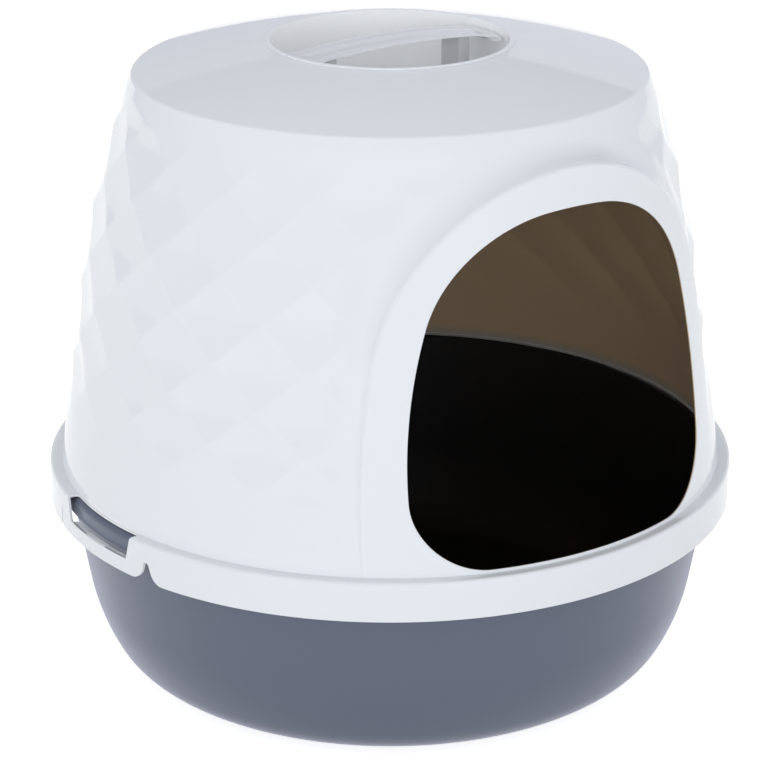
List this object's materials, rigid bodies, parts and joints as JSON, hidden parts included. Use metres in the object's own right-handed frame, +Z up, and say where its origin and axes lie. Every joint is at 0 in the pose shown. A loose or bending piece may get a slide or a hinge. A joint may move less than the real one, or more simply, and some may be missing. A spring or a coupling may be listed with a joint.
{
  "type": "covered litter box",
  "caption": "Round covered litter box: an open pan, a white hood with an arched entrance that lifts off it, snap tabs in the rim and a carry handle sunk in the roof.",
  "frame": {"origin": "centre of the pan's flat base, on the floor", "axes": "+Z up along the box's axis, -Y out of the entrance, +X to the right of someone who stands in front of the entrance and faces it"},
  "size_m": [0.46, 0.46, 0.4253],
  "materials": {
    "pan_grey": "satin moulded polypropylene",
    "hood_white": "glossy moulded polypropylene"
  },
  "bodies": {
    "pan": {"litter_pan": "pan_grey"},
    "hood": {"hood": "hood_white", "carry_handle": "hood_white"},
    "left_tab": {"left_snap_tab": "hood_white"},
    "right_tab": {"right_snap_tab": "hood_white"}
  },
  "joints": [
    {"name": "hood_lift", "type": "slide", "parent": "pan", "child": "hood", "axis": [0, 0, 1], "range_m": [0, 0.25]},
    {"name": "left_tab_flex", "type": "hinge", "parent": "hood", "child": "left_tab", "pos_m": [-0.2271, 0, 0.1294], "axis": [0, 1, 0], "range_deg": [0, 14], "stiffness_Nm_per_rad": 0.4},
    {"name": "right_tab_flex", "type": "hinge", "parent": "hood", "child": "right_tab", "pos_m": [0.2271, 0, 0.1294], "axis": [0, -1, 0], "range_deg": [0, 14], "stiffness_Nm_per_rad": 0.4}
  ]
}
